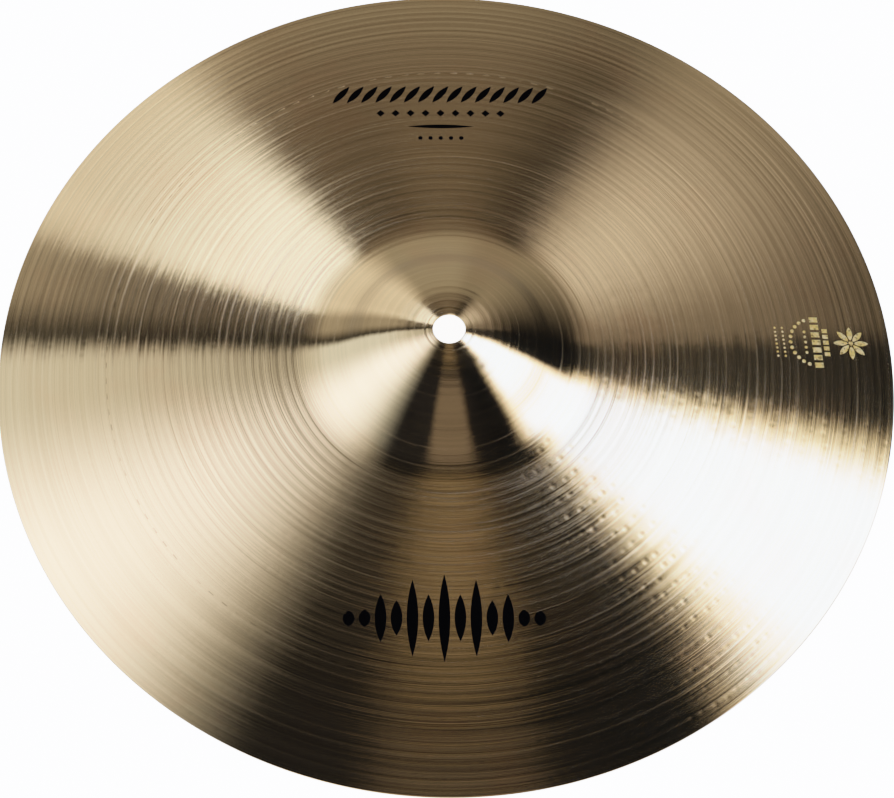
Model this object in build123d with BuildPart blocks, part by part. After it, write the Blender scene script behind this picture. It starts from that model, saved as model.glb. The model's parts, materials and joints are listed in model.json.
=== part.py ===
"""A suspended orchestral cymbal: one thin disc of cast, hammered and lathed bronze with a centre hole.

Frame: millimetres. The cymbal lies dome up on its rim, with the origin at the centre of the rim plane and
+Z up through the hole. The larger printed mark is on the -Y side, the smaller one on +Y, and the gold stamp
is a few degrees round from +X.
"""

from build123d import *

import os
from math import atan2, cos, degrees, pi

# Disc
diameter = 355.6  # 14 inches
apex_height = 34.0  # rim plane to the top of the bell, before the hole is drilled
hole_diameter = 12.7  # half an inch, for a strap or a stand's sleeve
hole_chamfer = 0.3
rim_rounding = 0.25

# Section of the played face, from the axis outwards: crown arc, hollow shoulder arc, long bow arc
crown_radius = 70.0
crown_slope = 33.0  # degrees down at the foot of the bell
shoulder_radius = 46.0
bow_start_slope = 3.0  # degrees down where the bow leaves the shoulder

# Thickness, which tapers from the bell to the rim
bell_thickness = 1.15
rim_thickness = 0.7

# Marks: thin films that follow the bow, a hair clear of the bronze. All of them are abstract.
ink_thickness = 0.06
stamp_thickness = 0.04
film_gap = 0.005
lower_mark_radius = 111.0  # from the axis to the middle of each mark
upper_mark_radius = 123.0
mark_shift = -2.2  # both printed marks sit a little to the left
stamp_radius = 147.3
stamp_bearing = 3.4  # degrees on from +X

# Lower mark: a sound wave of upright strokes
wave_strokes = 13
wave_pitch = 6.0
wave_height = 34.0
wave_stroke_width = 4.4
wave_short_stroke = 0.55  # every second stroke, as a share of the tall ones

# Upper mark: four rows, each with its distance below the first, its count and its pitch
rope_strokes = 15
rope_pitch = 5.9
rope_stroke_length = 11.0
rope_stroke_width = 2.8
rope_slant = -38.0
square_row_drop = 10.0
square_count = 9
square_pitch = 6.2
square_side = 2.4
rule_drop = 17.0
rule_length = 27.0
rule_width = 1.8
dot_row_drop = 23.0
dot_count = 5
dot_pitch = 4.2
dot_radius = 0.9

# Gold stamp, from the rim inwards: a rosette, a short and a long column of bars, a short column of dots under
# an arc of dots, and two columns of small dots
rosette_offset = 14.3
rosette_petals = 8
rosette_radius = 4.2
petal_length = 6.0
petal_width = 2.2
outer_bars = 5
outer_bar_offset = 4.0
outer_bar_size = (2.2, 1.7)
outer_bar_pitch = 2.6
inner_bars = 7
inner_bar_size = (3.4, 2.2)
inner_bar_pitch = 3.4
middle_dots = 5
middle_dot_offset = -4.4
middle_dot_pitch = 2.3
middle_dot_radius = 0.6
arc_dots = 11
arc_radius = 10.5
arc_start = 112.0
arc_sweep = 136.0
arc_dot_radius = 0.75
small_dots = 8
small_dot_offset = -14.8
small_dot_spacing = (3.0, 1.8)
small_dot_radius = 0.45

rim_radius = diameter / 2


def face_line(apex, crown, shoulder, rim):
    """Draws one face of the section, from the axis at height apex out to the rim, and returns its bow arc."""
    bell = JernArc((0, apex), (1, 0), crown, -crown_slope)
    hollow = JernArc(bell @ 1, bell % 1, shoulder, crown_slope - bow_start_slope)
    return TangentArc(hollow @ 1, (rim_radius, rim), tangent=hollow % 1)


# Cymbal: the section, with the hole's edges broken and the rim rounded, turned about the axis
with BuildPart() as cymbal:
    with BuildSketch(Plane.XZ) as section:
        with BuildLine():
            bow = face_line(apex_height, crown_radius, shoulder_radius, rim_thickness)
            under_bow = face_line(
                apex_height - bell_thickness,
                crown_radius - bell_thickness,
                shoulder_radius + bell_thickness,
                0,
            )
            Line((0, apex_height - bell_thickness), (0, apex_height))
            Line(under_bow @ 1, bow @ 1)
        make_face()
        with Locations((0, apex_height)):
            Rectangle(hole_diameter, apex_height, mode=Mode.SUBTRACT)
        corners = section.vertices().group_by(Axis.X)
        chamfer(corners[0], hole_chamfer)
        fillet(corners[-1], rim_rounding)
    revolve(axis=Axis.Z)


def film(thickness):
    """A skin of that thickness over the whole of the bow, film_gap above the bronze."""
    rim_direction = bow % 1
    rim_slope = -degrees(atan2(rim_direction.Y, rim_direction.X))
    bow_sweep = rim_slope - bow_start_slope
    low_radius = bow.radius + film_gap
    with BuildPart() as skin:
        with BuildSketch(Plane.XZ):
            with BuildLine():
                low = CenterArc(bow.arc_center, low_radius, 90 - rim_slope, bow_sweep)
                high = CenterArc(bow.arc_center, low_radius + thickness, 90 - rim_slope, bow_sweep)
                Line(low @ 0, high @ 0)
                Line(low @ 1, high @ 1)
            make_face()
        revolve(axis=Axis.Z)
    return skin.part


def mark(outline, thickness):
    """The part of a film that lies under an outline drawn in the rim plane."""
    skin = film(thickness)
    with BuildPart() as piece:
        add(outline)
        extrude(amount=apex_height)
        add(skin, mode=Mode.INTERSECT)
    return piece.part


def stroke(length, width):
    """A lens-shaped stroke with pointed ends, upright where it stands."""
    with BuildSketch(mode=Mode.PRIVATE) as shape:
        with BuildLine():
            ThreePointArc((0, -length / 2), (width / 2, 0), (0, length / 2))
            ThreePointArc((0, length / 2), (-width / 2, 0), (0, -length / 2))
        make_face()
    return shape.sketch


# Lower mark: tall and short strokes in turn, under one swell
with BuildSketch() as wave:
    for i in range(wave_strokes):
        place = i - (wave_strokes - 1) / 2
        swell = cos(place * pi / (wave_strokes + 2)) ** 1.5
        beat = wave_short_stroke if i % 2 else 1.0
        with Locations((mark_shift + place * wave_pitch, -lower_mark_radius)):
            add(stroke(wave_height * swell * beat, wave_stroke_width))
lower_print = mark(wave.sketch, ink_thickness)

# Upper mark: a rope of slanted strokes, then a row of squares, a rule and a row of dots
with BuildSketch() as rope:
    with Locations((mark_shift, upper_mark_radius)):
        with GridLocations(rope_pitch, 1, rope_strokes, 1):
            add(stroke(rope_stroke_length, rope_stroke_width), rotation=rope_slant)
    with Locations((mark_shift, upper_mark_radius - square_row_drop)):
        with GridLocations(square_pitch, 1, square_count, 1):
            Rectangle(square_side, square_side, rotation=45)
    with Locations((mark_shift, upper_mark_radius - rule_drop)):
        add(stroke(rule_length, rule_width), rotation=90)
    with Locations((mark_shift, upper_mark_radius - dot_row_drop)):
        with GridLocations(dot_pitch, 1, dot_count, 1):
            Circle(dot_radius)
upper_print = mark(rope.sketch, ink_thickness)

# Gold stamp
with BuildSketch(Plane.XY.rotated((0, 0, stamp_bearing))) as stamp_outline:
    with Locations((stamp_radius + rosette_offset, 0)):
        with PolarLocations(rosette_radius, rosette_petals):
            add(stroke(petal_length, petal_width), rotation=90)
        Circle(dot_radius)
    with Locations((stamp_radius + outer_bar_offset, 0)):
        with GridLocations(1, outer_bar_pitch, 1, outer_bars):
            Rectangle(*outer_bar_size)
    with Locations((stamp_radius, 0)):
        with GridLocations(1, inner_bar_pitch, 1, inner_bars):
            Rectangle(*inner_bar_size)
        with PolarLocations(arc_radius, arc_dots, arc_start, arc_sweep, endpoint=True):
            Circle(arc_dot_radius)
    with Locations((stamp_radius + middle_dot_offset, 0)):
        with GridLocations(1, middle_dot_pitch, 1, middle_dots):
            Circle(middle_dot_radius)
    with Locations((stamp_radius + small_dot_offset, 0)):
        with GridLocations(*small_dot_spacing, 2, small_dots):
            Circle(small_dot_radius)
gold_stamp = mark(stamp_outline.sketch, stamp_thickness)

cymbal.part.label = "cymbal"
lower_print.label = "lower_print"
upper_print.label = "upper_print"
gold_stamp.label = "gold_stamp"

os.makedirs("parts", exist_ok=True)
for piece in (cymbal.part, lower_print, upper_print, gold_stamp):
    export_step(piece, f"parts/{piece.label}.step")
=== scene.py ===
"""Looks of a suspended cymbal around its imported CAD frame: lathed bronze, ink, gold foil, light and camera.

Metres and radians, in the row frame: the rim rests on z = 0, +Z goes up through the hole and -Y is the near
side.
"""

import json
from math import cos, exp, pi, radians, sin, sqrt

import bpy
import numpy as np
from mathutils import Matrix, Vector


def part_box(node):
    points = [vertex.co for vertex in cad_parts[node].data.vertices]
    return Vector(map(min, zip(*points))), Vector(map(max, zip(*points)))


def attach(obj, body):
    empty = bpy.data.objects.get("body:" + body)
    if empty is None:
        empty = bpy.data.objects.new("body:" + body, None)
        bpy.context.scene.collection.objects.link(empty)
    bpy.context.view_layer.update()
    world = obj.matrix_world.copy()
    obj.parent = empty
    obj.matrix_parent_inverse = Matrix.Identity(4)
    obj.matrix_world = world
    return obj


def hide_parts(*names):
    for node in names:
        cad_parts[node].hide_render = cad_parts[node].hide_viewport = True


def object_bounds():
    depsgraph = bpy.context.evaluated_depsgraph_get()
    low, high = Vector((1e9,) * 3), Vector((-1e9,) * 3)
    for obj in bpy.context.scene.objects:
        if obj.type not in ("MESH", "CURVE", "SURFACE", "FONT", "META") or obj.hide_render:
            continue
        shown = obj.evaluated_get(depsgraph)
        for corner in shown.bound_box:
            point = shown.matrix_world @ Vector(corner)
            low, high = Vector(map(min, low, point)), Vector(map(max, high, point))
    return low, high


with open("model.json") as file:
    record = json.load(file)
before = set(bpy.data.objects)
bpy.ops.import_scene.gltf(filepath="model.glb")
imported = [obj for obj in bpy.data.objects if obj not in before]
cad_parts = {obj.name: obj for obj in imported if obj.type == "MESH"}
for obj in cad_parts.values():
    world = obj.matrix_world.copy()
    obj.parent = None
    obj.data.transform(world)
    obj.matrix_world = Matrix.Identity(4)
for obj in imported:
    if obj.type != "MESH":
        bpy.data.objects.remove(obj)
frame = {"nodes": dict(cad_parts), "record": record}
cad_low, cad_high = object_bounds()

MM = 0.001

# ---------------- the cymbal's section, as in the CAD part

crown_radius = 70 * MM
crown_slope = radians(33)
shoulder_radius = 46 * MM
bow_start_slope = radians(3)
bell_thickness = 1.15 * MM
rim_thickness = 0.7 * MM
hole_chamfer = 0.3 * MM
rim_rounding = 0.25 * MM
rim_radius = cad_high.x
hole_radius = frame["record"]["mounts"][0]["dims"]["r_mm"] * MM
hole_edge = hole_radius + hole_chamfer
apex_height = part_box("cymbal")[1].z + crown_radius - sqrt(crown_radius**2 - hole_edge**2)


class Face:
    """One face of the section: a crown arc, a hollow shoulder arc and a long bow arc, tangent in turn."""

    def __init__(self, apex, crown, shoulder, rim_height):
        self.crown, self.crown_centre = crown, apex - crown
        self.foot_radius = crown * sin(crown_slope)
        foot_height = apex - crown * (1 - cos(crown_slope))
        self.shoulder = shoulder
        self.shoulder_centre = (
            self.foot_radius + shoulder * sin(crown_slope),
            foot_height + shoulder * cos(crown_slope),
        )
        self.bow_start = self.shoulder_centre[0] - shoulder * sin(bow_start_slope)
        start_height = self.shoulder_centre[1] - shoulder * cos(bow_start_slope)
        across, down = rim_radius - self.bow_start, start_height - rim_height
        drop = down * cos(bow_start_slope) - across * sin(bow_start_slope)
        self.bow = (across**2 + down**2) / (2 * drop)
        self.bow_centre = (
            self.bow_start - self.bow * sin(bow_start_slope),
            start_height - self.bow * cos(bow_start_slope),
        )

    def height(self, r):
        """The face's height at radius r, an array."""
        crown = self.crown_centre + np.sqrt(np.maximum(self.crown**2 - r**2, 0))
        across = r - self.shoulder_centre[0]
        hollow = self.shoulder_centre[1] - np.sqrt(np.maximum(self.shoulder**2 - across**2, 0))
        along = r - self.bow_centre[0]
        bow = self.bow_centre[1] + np.sqrt(np.maximum(self.bow**2 - along**2, 0))
        return np.where(r < self.foot_radius, crown, np.where(r < self.bow_start, hollow, bow))


played_face = Face(apex_height, crown_radius, shoulder_radius, rim_thickness)
back_face = Face(
    apex_height - bell_thickness, crown_radius - bell_thickness, shoulder_radius + bell_thickness, 0
)

# ---------------- relief: lathe scallops and hammer dents, all sunk

rng = np.random.default_rng(14)
fine_from = 64 * MM  # rings from here outwards have the most points, and inside middle_from the fewest
middle_from = 24 * MM
most_points = 448
scallop_pitch = 3.28 * MM
scallop_depth = 0.048 * MM
scallop_widths = (0.88, 1.12)  # least and most, as shares of the pitch
scallop_depths = (0.5, 1.2)
scallop_crests = (0.3, 1.0)  # how much of a crest stands between two scallops
scallop_curve = (0, 0.7, 1, 0.7)  # how far a scallop has sunk at each quarter of its width
first_dent_row = 15 * MM
dent_row_pitch = 9.5 * MM
dent_pitch = 6.6 * MM
dent_size = 1.9 * MM
dent_depth = 0.012 * MM
bell_dent_depth = 0.006 * MM
heavy_side = radians(-32)  # the hammering is heaviest here and lightest opposite
lightest_hammering = 0.12
dents_end = 2 * MM  # from the rim, and they fade out over dents_fade inside that
dents_fade = 4 * MM


def hammer_rows():
    """Each row of dents: its radius, and its dents' angles, radii and depths."""
    rows = []
    for row_radius in np.arange(first_dent_row, rim_radius - 12 * MM, dent_row_pitch):
        count = int(2 * pi * row_radius / dent_pitch)
        angles = (np.arange(count) + rng.uniform(-0.25, 0.25, count)) * 2 * pi / count
        radii = row_radius + rng.normal(0, 0.12 * dent_row_pitch, count)
        side = (1 + np.cos(angles - heavy_side)) / 2
        depths = dent_depth * (lightest_hammering + (1 - lightest_hammering) * side**2)
        if row_radius < fine_from:
            depths = bell_dent_depth
        rows.append((row_radius, angles, radii, depths * rng.uniform(0.3, 1.0, count)))
    return rows


def dents(r, angle, rows):
    """How far the hammering sinks the face at each point: r and angle are arrays."""
    sunk = np.zeros_like(r)
    for row_radius, angles, radii, depths in rows:
        near = np.abs(r - row_radius) < dent_row_pitch
        count = len(angles)
        cell = np.floor(angle[near] / (2 * pi) * count).astype(int)
        for step in (-1, 0, 1, 2):
            i = (cell + step) % count
            turn = (angle[near] - angles[i] + pi) % (2 * pi) - pi
            apart = (r[near] - radii[i]) ** 2 + (r[near] * turn) ** 2
            sunk[near] += depths[i] * np.exp(-apart / (2 * dent_size**2))
    return sunk


# ---------------- the cymbal's mesh: rings from the hole out and back

smooth_rim = 5 * MM  # the outermost band has no scallops
smooth_rim_rings = 6
# the rim band's share of a crest makes it rougher and lighter in colour, a painted highlight
smooth_rim_crest = 0.4
hole_lip_radius = 8.0 * MM
hole_ring_radius = 9.0 * MM  # a shallow turned ring round the hole
hole_ring_depth = 0.05 * MM
hole_ring_profile = ((-0.5, 0), (-0.2, 1), (0.2, 1), (0.5, 0))  # mm off its middle, share of its depth
scallops_from = 10 * MM
top_rim_turns = (30, 60, 90)  # degrees round the rim's upper rounding, then its lower one
low_rim_turns = (90, 65, 40)
back_rings = 76
sharp_edge = radians(28)


def ring_points(r, most):
    return most if r >= fine_from else most // 2 if r >= middle_from else most // 4


def face_rings():
    """Radius, depth sunk and share of a crest of each ring of the played face: four rings to a scallop."""
    rings = [(hole_edge, 0.0, 0), (hole_lip_radius, 0.0, 0)]
    for offset, sunk in hole_ring_profile:
        rings.append((hole_ring_radius + offset * MM, hole_ring_depth * sunk, 0))
    r = scallops_from
    while r < rim_radius - smooth_rim:
        width = scallop_pitch * rng.uniform(*scallop_widths)
        depth = scallop_depth * rng.uniform(*scallop_depths)
        crest = rng.uniform(*scallop_crests)
        for i, share in enumerate(scallop_curve):
            rings.append((r + width * i / 4, depth * share, crest if share == 0 else 0))
        r += width
    edges = np.linspace(r, rim_radius - rim_rounding, smooth_rim_rings)
    rings += [(edge, 0.0, smooth_rim_crest) for edge in edges]
    return rings


def section_rings():
    """Radius, height, points and crest, or -1 off the played face, of each ring, once round the section."""
    rings = []
    for r, sunk, crest in face_rings():
        height = float(played_face.height(np.array(r))) - sunk
        rings.append((r, height, ring_points(r, most_points), crest))
    rim_start = rim_radius - rim_rounding
    for turn in top_rim_turns:
        r = rim_start + rim_rounding * sin(radians(turn))
        height = rim_thickness - rim_rounding * (1 - cos(radians(turn)))
        rings.append((r, height, most_points, -1))
    for turn in low_rim_turns:
        r = rim_start + rim_rounding * sin(radians(turn))
        rings.append((r, rim_rounding * (1 - cos(radians(turn))), most_points, -1))
    for r in np.linspace(rim_start, hole_edge, back_rings):
        height = float(back_face.height(np.array(r)))
        rings.append((r, height, ring_points(r, most_points // 2), -1))
    wall_low = rings[-1][1] + hole_chamfer
    wall_high = rings[0][1] - hole_chamfer
    rings.append((hole_radius, wall_low, most_points // 4, -1))
    rings.append((hole_radius, wall_high, most_points // 4, -1))
    return rings


def bridge(a, b, count_a, count_b):
    """Faces between two rings, from their first vertices and their counts, equal or one twice the other."""
    if count_a == count_b:
        n = count_a
        return [(a + i, b + i, b + (i + 1) % n, a + (i + 1) % n) for i in range(n)]
    faces = []
    coarse, fine, flip = (a, b, False) if count_a < count_b else (b, a, True)
    n = min(count_a, count_b)
    for i in range(n):
        c0, c1 = coarse + i, coarse + (i + 1) % n
        f0, f1, f2 = fine + 2 * i, fine + 2 * i + 1, fine + (2 * i + 2) % (2 * n)
        three = [(c0, f0, f1), (c0, f1, c1), (c1, f1, f2)]
        faces += [face[::-1] for face in three] if flip else three
    return faces


def make_cymbal():
    rings = section_rings()
    rows = hammer_rows()
    points, starts, crests = [], [], []
    for r, z, count, crest in rings:
        starts.append(sum(len(p) for p in points))
        angle = np.arange(count) * 2 * pi / count
        radius = np.full(count, r)
        height = np.full(count, z)
        crests += [max(crest, 0)] * count
        if crest >= 0:
            fade = np.clip((rim_radius - dents_end - r) / dents_fade, 0, 1)
            height = height - fade * dents(radius, angle, rows)
        points.append(np.column_stack((r * np.cos(angle), r * np.sin(angle), height)))
    faces = []
    for i, ring in enumerate(rings):
        j = (i + 1) % len(rings)
        faces += bridge(starts[i], starts[j], ring[2], rings[j][2])
    mesh = bpy.data.meshes.new("bronze_disc")
    mesh.from_pydata(np.vstack(points).tolist(), [], faces)
    mesh.attributes.new("crest", "FLOAT", "POINT").data.foreach_set("value", crests)
    mesh.shade_smooth()
    mesh.set_sharp_from_angle(angle=sharp_edge)
    disc = bpy.data.objects.new("bronze_disc", mesh)
    bpy.context.scene.collection.objects.link(disc)
    return disc


# ---------------- node helpers


class Graph:
    """A node tree with short calls for maths."""

    def __init__(self, tree):
        self.tree = tree
        tree.nodes.clear()

    def node(self, kind, **settings):
        made = self.tree.nodes.new("ShaderNode" + kind)
        for name, value in settings.items():
            setattr(made, name, value)
        return made

    def feed(self, socket, value):
        if isinstance(value, bpy.types.NodeSocket):
            self.tree.links.new(value, socket)
        elif value is not None:
            socket.default_value = value

    def math(self, operation, a, b=None, c=None):
        made = self.node("Math", operation=operation)
        for socket, value in zip(made.inputs, (a, b, c)):
            self.feed(socket, value)
        return made.outputs[0]

    def vector(self, operation, a, b=None, scale=None):
        made = self.node("VectorMath", operation=operation)
        self.feed(made.inputs[0], a)
        self.feed(made.inputs[1], b)
        if scale is not None:
            self.feed(made.inputs["Scale"], scale)
        return made.outputs["Value" if operation in ("DOT_PRODUCT", "LENGTH") else 0]

    def ramp(self, value, low, high, out_low=0.0, out_high=1.0, smooth=True):
        made = self.node("MapRange", interpolation_type="SMOOTHSTEP" if smooth else "LINEAR")
        for socket, v in zip(made.inputs, (value, low, high, out_low, out_high)):
            self.feed(socket, v)
        return made.outputs[0]

    def noise(self, vector, scale, detail=2.0, roughness=0.5):
        made = self.node("TexNoise")
        self.feed(made.inputs["Vector"], vector)
        made.inputs["Scale"].default_value = scale
        made.inputs["Detail"].default_value = detail
        made.inputs["Roughness"].default_value = roughness
        return made.outputs["Fac"]

    def combine(self, x, y, z):
        made = self.node("CombineXYZ")
        for socket, value in zip(made.inputs, (x, y, z)):
            self.feed(socket, value)
        return made.outputs[0]

    def mix_colour(self, factor, a, b, blend="MIX"):
        made = self.node("Mix", data_type="RGBA", blend_type=blend)
        self.feed(made.inputs["Factor"], factor)
        self.feed(made.inputs["A"], a)
        self.feed(made.inputs["B"], b)
        return made.outputs["Result"]


def new_material(name):
    material = bpy.data.materials.new(name)
    material.use_nodes = True
    return material, Graph(material.node_tree)


# ---------------- materials

bronze_colour = (0.90, 0.67, 0.385, 1)
bronze_patch_colour = (0.91, 0.64, 0.365, 1)
bronze_roughness = 0.10
groove_roughness = 0.01  # how far a groove's top and bottom are from the mean roughness
crest_roughness = 0.11  # how much rougher the scallops' crests are
crest_painted_highlight = 0.06  # and how much lighter in colour: a painted highlight along each crest
# the grooves' colour, darker where the groove sinks and lighter where it stands: painted shade and highlight
painted_groove_shade = (0.95, 1.02)
patch_scale = 22
groove_pitch = 0.9 * MM  # the lathe's grooves, as noise along the radius: size, and how steep its sides are
groove_slope = 0.03
scratch_pitch = 0.25 * MM
scratch_slope = 0.13
skew_pitch = 1.0 * MM  # rings that run slightly askew, where light ends sooner or later
skew_slope = 0.018
true_rings = (60 * MM, 120 * MM)  # near the bell the rings run truer, with least_skew of that slope
least_skew = 0.5
dimple_row_pitch = 7.4 * MM  # small crisp hammer marks, too fine for the mesh
dimple_pitch = 5.2 * MM
dimple_radius = 1.8 * MM
dimple_depth = 0.0095 * MM
lightest_dimples = 0.18
dimpled_side = radians(-50)
dimpled_power = 14.0  # how narrow the dimpled side is
chatter_radius = 134.6 * MM
chatter_width = 0.32 * MM
chatter_dashes = 124
chatter_dash = (0.14, 0.24)  # where a dash starts and ends to fade, in dashes from its middle
chatter_depth = 0.05 * MM
chatter_back = (90 * MM, 115 * MM)  # the dashes are cut from here backwards; on the left they are only darkened in colour, a painted shade
chatter_left = (10 * MM, -40 * MM)
# how much darker the left dashes are painted: painted shade
chatter_painted_shade = 0.5
ink_colour = (0.0004, 0.0004, 0.0004, 1)
ink_dust_colour = (0.0012, 0.001, 0.001, 1)
ink_gloss = 0.015
film_bump = 0.02 * MM
gold_colour = (0.90, 0.58, 0.14, 1)
thin_gold_colour = (0.97, 0.69, 0.27, 1)
worn_gold_colour = (0.36, 0.21, 0.05, 1)


def polar(g):
    """Radius and angle about the cymbal's axis, and the point itself, from object coordinates."""
    point = g.node("TexCoord").outputs["Object"]
    split = g.node("SeparateXYZ")
    g.feed(split.inputs[0], point)
    x, y = split.outputs["X"], split.outputs["Y"]
    radius = g.math("SQRT", g.math("ADD", g.math("MULTIPLY", x, x), g.math("MULTIPLY", y, y)))
    angle = g.math("ARCTAN2", y, x)
    return point, radius, angle, x, y


def bronze():
    material, g = new_material("lathed_bronze")
    point, radius, angle, x, y = polar(g)
    ux, uy = g.math("DIVIDE", x, radius), g.math("DIVIDE", y, radius)

    def rings(pitch, along, detail=1.0, offset=0.0):
        """Noise that changes over pitch metres of radius and slowly round the disc."""
        vector = g.combine(
            g.math("MULTIPLY_ADD", radius, 1 / pitch, offset),
            g.math("MULTIPLY", ux, along),
            g.math("MULTIPLY", uy, along),
        )
        return g.noise(vector, 1.0, detail)

    def grow(value, factor, base=0.0):
        return g.math("MULTIPLY_ADD", value, factor, base)

    groove = rings(groove_pitch, 0.3)
    scratch = rings(scratch_pitch, 0.8, 1.0, 57.0)
    skew = rings(skew_pitch, 0.35, 2.0, 23.0)

    # rows of hammer dimples, one to a cell
    row_place = g.math("DIVIDE", radius, dimple_row_pitch)
    row = g.math("FLOOR", row_place)
    row_cells = g.math("ROUND", grow(row, 2 * pi * dimple_row_pitch / dimple_pitch))
    cell_place = g.math("MULTIPLY", grow(angle, 1 / (2 * pi), 0.5), row_cells)
    cell = g.math("FLOOR", cell_place)
    chance = g.node("TexWhiteNoise", noise_dimensions="2D")
    g.feed(chance.inputs["Vector"], g.combine(row, cell, 0.0))
    chances = g.node("SeparateColor")
    g.feed(chances.inputs[0], chance.outputs["Color"])
    outwards = g.math("SUBTRACT", g.math("FRACT", row_place), grow(chances.outputs[0], 0.4, 0.3))
    sideways = g.math("SUBTRACT", g.math("FRACT", cell_place), grow(chances.outputs[1], 0.3, 0.35))
    apart = g.vector(
        "LENGTH", g.combine(grow(outwards, dimple_row_pitch), grow(sideways, dimple_pitch), 0.0)
    )
    facing = g.math("ADD", grow(ux, cos(dimpled_side) / 2, 0.5), grow(uy, sin(dimpled_side) / 2))
    heavy = grow(g.math("POWER", facing, dimpled_power), 1 - lightest_dimples, lightest_dimples)
    dimple = g.math(
        "MULTIPLY",
        g.ramp(apart, 0.0, dimple_radius, 1.0, 0.0),
        g.math("MULTIPLY", grow(chances.outputs[2], 0.7, 0.3), heavy),
    )

    # a ring of short dashes where the lathe's tool chattered, here and there
    turn = g.math("FRACT", grow(angle, chatter_dashes / (2 * pi)))
    off_dash = g.math("ABSOLUTE", g.math("SUBTRACT", turn, 0.5))
    off_ring = g.math("ABSOLUTE", g.math("SUBTRACT", radius, chatter_radius))
    # how strongly each dash is marked: cut at the back, painted darker on the left
    dash_strength = g.ramp(g.noise(g.combine(grow(angle, 9.0), 0.0, 0.0), 1.0, 3.0), 0.38, 0.55)
    back, left = g.ramp(y, *chatter_back), g.ramp(x, *chatter_left)
    dash_strength = g.math("MULTIPLY", dash_strength, g.math("MAXIMUM", back, left))
    dash = g.math(
        "MULTIPLY",
        g.math("MULTIPLY", g.ramp(off_dash, *chatter_dash, 1.0, 0.0), dash_strength),
        g.ramp(off_ring, 0.0, chatter_width, 1.0, 0.0),
    )
    # on the left the dashes are not cut but darkened in colour: painted shade
    dash_painted_shade = g.math("MULTIPLY", dash, grow(back, -1.0, 1.0))
    cut = g.math("MULTIPLY", dash, back)

    # heights are in millimetres, and the bump's distance makes them metres
    height = g.math("ADD", grow(groove, groove_slope * groove_pitch / MM), grow(cut, -chatter_depth / MM))
    height = g.math("ADD", height, grow(scratch, scratch_slope * scratch_pitch / MM))
    height = g.math("ADD", height, grow(dimple, -dimple_depth / MM))
    tangent = g.node("Tangent", direction_type="RADIAL", axis="Z").outputs[0]
    share = g.ramp(radius, *true_rings, least_skew, 1.0)
    slope = g.math("MULTIPLY", grow(skew, skew_slope, -skew_slope / 2), share)
    askew = g.vector("SCALE", tangent, scale=slope)
    normal = g.vector("NORMALIZE", g.vector("ADD", g.node("NewGeometry").outputs["Normal"], askew))
    bump = g.node("Bump")
    bump.inputs["Strength"].default_value = 1.0
    bump.inputs["Distance"].default_value = MM
    g.feed(bump.inputs["Height"], height)
    g.feed(bump.inputs["Normal"], normal)

    crest = g.node("Attribute", attribute_type="GEOMETRY", attribute_name="crest").outputs["Fac"]
    patches = g.ramp(g.noise(point, patch_scale, 4, 0.6), 0.50, 0.72)
    colour = g.mix_colour(patches, bronze_colour, bronze_patch_colour)
    # painted light and shade in the base colour: crests and groove tops lighter, groove bottoms and the left
    # dashes darker
    painted_shading = g.math("ADD", g.ramp(groove, 0.3, 0.7, *painted_groove_shade), grow(crest, crest_painted_highlight))
    painted_shading = g.math("MULTIPLY", painted_shading, grow(dash_painted_shade, -chatter_painted_shade, 1.0))
    tone = g.mix_colour(1.0, colour, g.combine(painted_shading, painted_shading, painted_shading), "MULTIPLY")

    shader = g.node("BsdfPrincipled")
    shader.inputs["Metallic"].default_value = 1.0
    shader.inputs["Anisotropic"].default_value = 1.0
    shader.inputs["Anisotropic Rotation"].default_value = 0.25
    g.feed(shader.inputs["Base Color"], tone)
    least, most = bronze_roughness - groove_roughness, bronze_roughness + groove_roughness
    rough = g.ramp(groove, 0.3, 0.7, least, most, smooth=False)
    rougher = grow(g.math("POWER", crest, 2.0), crest_roughness)
    g.feed(shader.inputs["Roughness"], g.math("ADD", rough, rougher))
    g.feed(shader.inputs["Normal"], bump.outputs[0])
    g.feed(shader.inputs["Tangent"], tangent)
    out = g.node("OutputMaterial")
    g.feed(out.inputs["Surface"], shader.outputs[0])
    return material


def ink():
    material, g = new_material("screen_print_ink")
    point = g.node("TexCoord").outputs["Object"]
    fine = g.noise(point, 1800, 3, 0.6)
    shader = g.node("BsdfPrincipled")
    g.feed(shader.inputs["Base Color"], g.mix_colour(fine, ink_colour, ink_dust_colour))
    g.feed(shader.inputs["Roughness"], g.ramp(fine, 0.3, 0.7, 0.42, 0.6))
    shader.inputs["Specular IOR Level"].default_value = ink_gloss
    bump = g.node("Bump")
    bump.inputs["Strength"].default_value = 0.25
    bump.inputs["Distance"].default_value = film_bump
    g.feed(bump.inputs["Height"], fine)
    g.feed(shader.inputs["Normal"], bump.outputs[0])
    out = g.node("OutputMaterial")
    g.feed(out.inputs["Surface"], shader.outputs[0])
    return material


def gold():
    material, g = new_material("gold_foil")
    point = g.node("TexCoord").outputs["Object"]
    fine = g.noise(point, 1400, 3, 0.6)
    thin = g.ramp(g.noise(point, 420, 2, 0.6), 0.4, 0.6)
    worn = g.ramp(g.noise(point, 900, 2, 0.6), 0.52, 0.66)
    shader = g.node("BsdfPrincipled")
    unworn = g.mix_colour(thin, gold_colour, thin_gold_colour)
    g.feed(shader.inputs["Base Color"], g.mix_colour(worn, unworn, worn_gold_colour))
    shader.inputs["Metallic"].default_value = 0.8
    g.feed(shader.inputs["Roughness"], g.ramp(fine, 0.3, 0.7, 0.38, 0.55))
    bump = g.node("Bump")
    bump.inputs["Strength"].default_value = 0.3
    bump.inputs["Distance"].default_value = film_bump
    g.feed(bump.inputs["Height"], fine)
    g.feed(shader.inputs["Normal"], bump.outputs[0])
    out = g.node("OutputMaterial")
    g.feed(out.inputs["Surface"], shader.outputs[0])
    return material


# ---------------- camera

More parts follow.
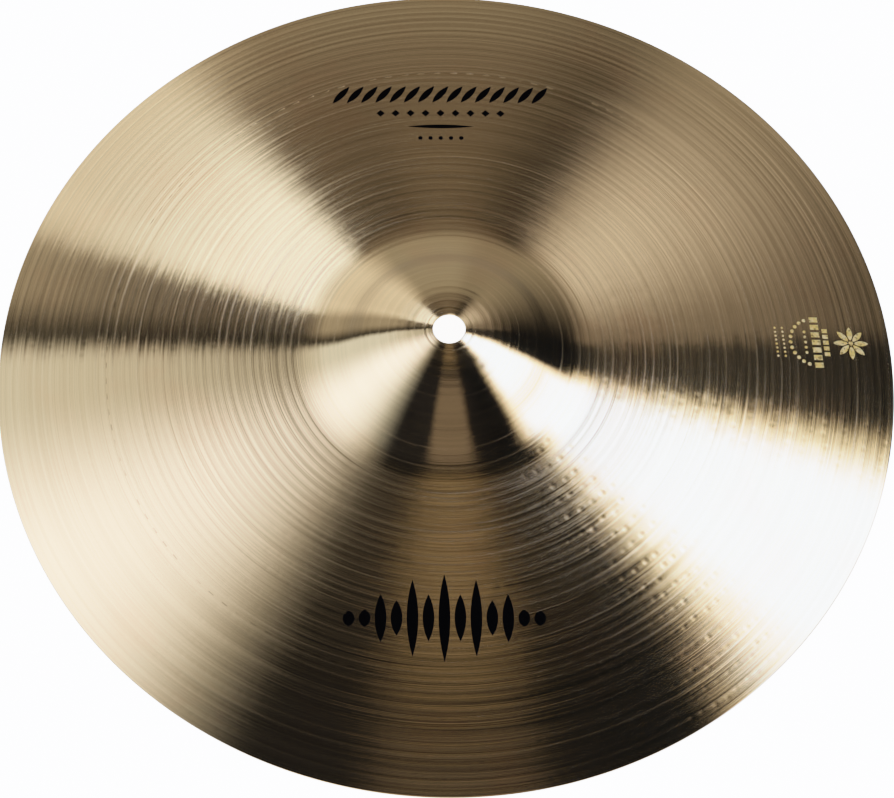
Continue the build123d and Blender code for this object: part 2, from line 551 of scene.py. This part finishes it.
camera_azimuth = radians(-2.7)
camera_elevation = radians(90 - 27.175)
camera_distance = 1.03547
camera_roll = radians(2.577)
aim_near = 13.75 * MM  # the camera aims this far on the near side of the axis
aim_side = 0.37 * MM  # and this far to its right
lens_mm = 104.7


def make_camera():
    away = Vector((sin(camera_azimuth), -cos(camera_azimuth), 0))
    back = away * cos(camera_elevation) + Vector((0, 0, sin(camera_elevation)))
    data = bpy.data.cameras.new("camera")
    data.lens = lens_mm
    data.sensor_width = 36
    camera = bpy.data.objects.new("camera", data)
    camera.location = back * camera_distance
    side = Vector((cos(camera_azimuth), sin(camera_azimuth), 0))
    look = away * aim_near + side * aim_side - camera.location
    camera.rotation_mode = "QUATERNION"
    turn = look.to_track_quat("-Z", "Y").to_matrix() @ Matrix.Rotation(camera_roll, 3, "Z")
    camera.rotation_quaternion = turn.to_quaternion()
    bpy.context.scene.collection.objects.link(camera)
    bpy.context.scene.camera = camera


# ---------------- light and floor

# Soft panels of light, each placed by the tilt of the surface that mirrors it to the camera. A panel's
# light rises, stays full and falls over four bearings, the way the tilt faces (-90 is towards the
# camera), and over four steepnesses of the tilt, all in degrees. Its level is in red, green and blue.
# The last four are for the side and back views: the camera's own view hardly sees them.
PANELS = (
    ("right_low_edge", (-47.5, -39.5, -11.5, -6.5), (1, 3.5, 17, 18), (2.5, 2.35, 1.95)),
    ("right_low", (-42.5, -34, -15.5, -10.5), (1, 3.5, 17, 18), (0.2, 1.45, 4.75)),
    ("right_high_edge", (-53.5, -45, -14, -9.8), (17, 18, 40, 50), (2.5, 2.35, 2.1)),
    ("right_high", (-48.5, -40.5, -17.5, -12.5), (17, 18, 28, 36), (0.2, 1.45, 4.6)),
    ("left_key", (-181, -177, -137, -114), (-4, 14, 45, 55), (0.94, 0.95, 0.93)),
    ("left_hot", (-172, -150, -148, -122), (0.5, 11.5, 38, 44), (1.63, 1.6, 2.02)),
    ("left_high", (-181, -177, -135, -113), (15, 20, 40, 48), (0.2, 0.28, 0.36)),
    ("top_left", (128.5, 139, 163.5, 165), (1, 3, 6, 13), (1.98, 2.09, 2.28)),
    ("top_left_far", (129, 140, 164.5, 166), (2, 8, 12, 18), (0.9, 0.9, 0.9)),
    ("top_left_high", (120, 141, 158, 168), (13, 17, 30, 38), (0.8, 0.73, 0.68)),
    ("left_gap", (155, 162, 171, 178), (0, 2, 7, 11), (0.035, 0.03, 0.025)),
    ("left_gap_far", (155, 162, 172, 179), (7, 11, 26, 36), (0.16, 0.15, 0.14)),
    ("top_right_edge", (4, 8, 50, 66), (0, 3, 12, 20), (0.18, 0.16, 0.14)),
    ("top_right", (6, 36, 40, 66), (1, 3, 6, 15), (0.91, 0.86, 0.85)),
    ("back_strip", (80, 88, 100, 107), (2, 5, 7, 9), (0.12, 0.1, 0.07)),
    ("back", (58, 84, 124, 138), (2, 8, 14, 18), (0.13, 0.11, 0.09)),
    ("back_high", (4, 56, 172, 181), (13, 17, 30, 36), (0.3, 0.28, 0.24)),
    ("back_top", (72, 90, 135, 165), (14, 18, 30, 36), (0.1, 0.1, 0.09)),
    ("front_near", (-99, -95, -79, -74), (1, 3, 10.3, 11.7), (0.24, 0.19, 0.12)),
    ("front_far", (-99, -95, -79, -74), (11, 12, 16, 17), (0.004, 0.004, 0.004)),
    ("front_strip", (-99, -95, -78, -74), (17.3, 18.3, 33, 38), (0.19, 0.16, 0.13)),
    ("front_haze", (-125, -112, -62, -48), (-2, -1, 7, 12), (0.034, 0.03, 0.026)),
    ("bell_haze", (-125, -115, -80, -60), (12, 17, 30, 36), (0.009, 0.009, 0.011)),
    ("right_gap", (-10, -6, 8, 14), (-2, -1, 12, 18), (0.03, 0.03, 0.03)),
    ("floor_back", (20, 75, 170, 182), (31, 37, 55, 62), (0.42, 0.42, 0.42)),
    ("low_front", (-165, -125, -60, -40), (40, 50, 100, 120), (0.55, 0.52, 0.48)),
    ("low_front_strip", (-112, -104, -88, -78), (42, 50, 100, 120), (1.1, 1.08, 1.05)),
    ("low_back", (20, 60, 150, 178), (50, 58, 100, 120), (0.5, 0.48, 0.45)),
)
room_level = (0.005, 0.0062, 0.009)
white_level = 4.0
curve_steps = 14
floor_reach = 40.0
floor_colour = (0.9, 0.9, 0.9, 1)
floor_glow = 2.6


def make_world():
    world = bpy.data.worlds.new("studio")
    bpy.context.scene.world = world
    world.use_nodes = True
    g = Graph(world.node_tree)
    side = (cos(camera_azimuth), sin(camera_azimuth), 0)
    away = (-sin(camera_azimuth), cos(camera_azimuth), 0)
    to_camera = -Vector(away) * cos(camera_elevation) + Vector((0, 0, sin(camera_elevation)))
    tilt = g.vector("ADD", g.node("TexCoord").outputs["Generated"], tuple(to_camera))
    across, along = g.vector("DOT_PRODUCT", tilt, side), g.vector("DOT_PRODUCT", tilt, away)
    level = g.vector("DOT_PRODUCT", tilt, (0, 0, 1))
    flat = g.vector("LENGTH", g.combine(across, along, 0.0))
    bearing = g.math("DEGREES", g.math("ARCTAN2", along, across))
    steepness = g.math("DEGREES", g.math("ARCTAN2", flat, level))
    total = g.combine(*room_level)
    for name, bearings, steeps, colour in PANELS:
        middle = (bearings[0] + bearings[3]) / 2
        off = g.math("WRAP", g.math("SUBTRACT", bearing, middle), 180.0, -180.0)
        rise = g.ramp(off, bearings[0] - middle, bearings[1] - middle)
        fall = g.ramp(off, bearings[2] - middle, bearings[3] - middle, 1.0, 0.0)
        near = g.ramp(steepness, steeps[0], steeps[1])
        far = g.ramp(steepness, steeps[2], steeps[3], 1.0, 0.0)
        share = g.math("MULTIPLY", g.math("MULTIPLY", rise, fall), g.math("MULTIPLY", near, far))
        total = g.vector("ADD", total, g.vector("SCALE", colour, scale=share))
    seen = g.node("LightPath").outputs["Is Camera Ray"]
    background = g.node("Background")
    white = (white_level, white_level, white_level, 1)
    g.feed(background.inputs["Color"], g.mix_colour(seen, total, white))
    out = g.node("OutputWorld")
    g.feed(out.inputs["Surface"], background.outputs[0])


def make_floor():
    mesh = bpy.data.meshes.new("floor")
    corners = [(floor_reach * x, floor_reach * y, 0) for x, y in ((-1, -1), (1, -1), (1, 1), (-1, 1))]
    mesh.from_pydata(corners, [], [(0, 1, 2, 3)])
    floor = bpy.data.objects.new("floor", mesh)
    bpy.context.scene.collection.objects.link(floor)
    material, g = new_material("pale_floor")
    shader = g.node("BsdfPrincipled")
    shader.inputs["Base Color"].default_value = floor_colour
    shader.inputs["Roughness"].default_value = 0.8
    shader.inputs["Emission Color"].default_value = (1, 1, 1, 1)
    shader.inputs["Emission Strength"].default_value = floor_glow
    out = g.node("OutputMaterial")
    g.feed(out.inputs["Surface"], shader.outputs[0])
    mesh.materials.append(material)
    floor.visible_glossy = False


def set_film_curve():
    """A photographic response: straight in the shadows, with a long shoulder up to white at white_level."""
    view = bpy.context.scene.view_settings
    view.view_transform = "Standard"
    view.look = "None"
    view.use_curve_mapping = True
    mapping = view.curve_mapping
    mapping.white_level = (white_level, white_level, white_level)
    curve = mapping.curves[3]  # the one for all three colours
    for i in range(1, curve_steps):
        x = (i / curve_steps) ** 2
        curve.points.new(x, (1 - exp(-white_level * x)) / (1 - exp(-white_level)))
    mapping.update()


# ---------------- the scene

make_camera()
make_world()
make_floor()
set_film_curve()

disc = make_cymbal()
disc.data.materials.append(bronze())
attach(disc, "root")
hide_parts("cymbal")

ink_material = ink()
gold_material = gold()
for node, material in (
    ("lower_print", ink_material),
    ("upper_print", ink_material),
    ("gold_stamp", gold_material),
):
    mesh = frame["nodes"][node].data
    mesh.materials.clear()
    mesh.materials.append(material)
